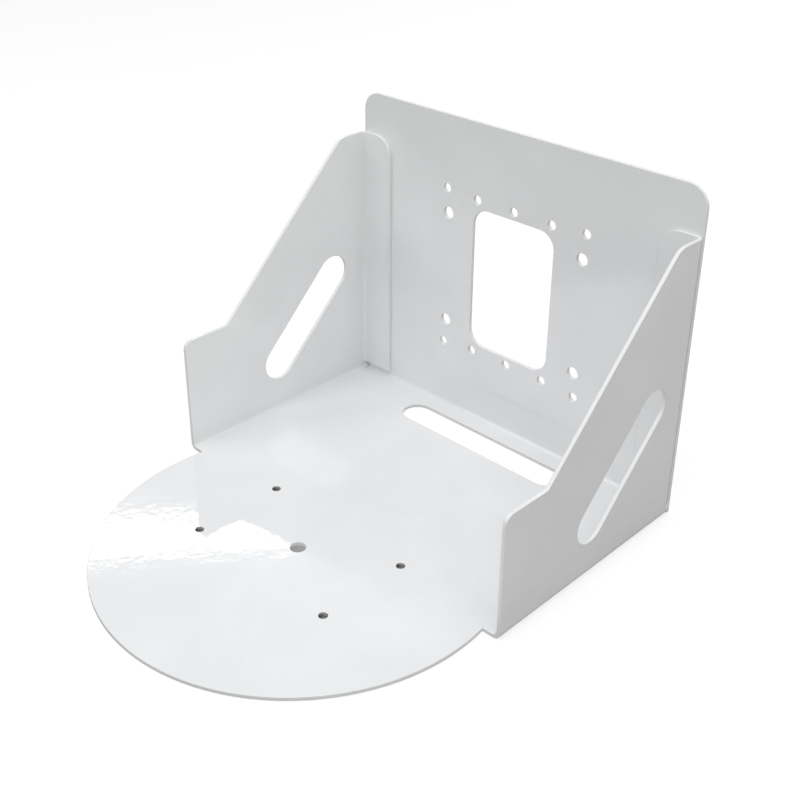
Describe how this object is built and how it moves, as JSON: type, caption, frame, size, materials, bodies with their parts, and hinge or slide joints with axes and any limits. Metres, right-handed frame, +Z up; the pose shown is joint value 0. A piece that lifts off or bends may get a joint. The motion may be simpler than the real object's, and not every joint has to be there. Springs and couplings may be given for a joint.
{
  "type": "camera wall bracket",
  "caption": "Folded steel wall bracket: a round camera platform with a screw hole, sloped side plates with slots, and a back panel with a window and fixing holes.",
  "frame": {"origin": "centre of the camera screw hole, on the underside of the base", "axes": "+Z up along the screw hole, +Y towards the wall, +X right seen from the front"},
  "size_m": [0.206, 0.2355, 0.163],
  "materials": {
    "white_powder_coat": "gloss white powder coat on steel"
  },
  "bodies": {
    "root": {"bracket": "white_powder_coat"}
  },
  "joints": []
}
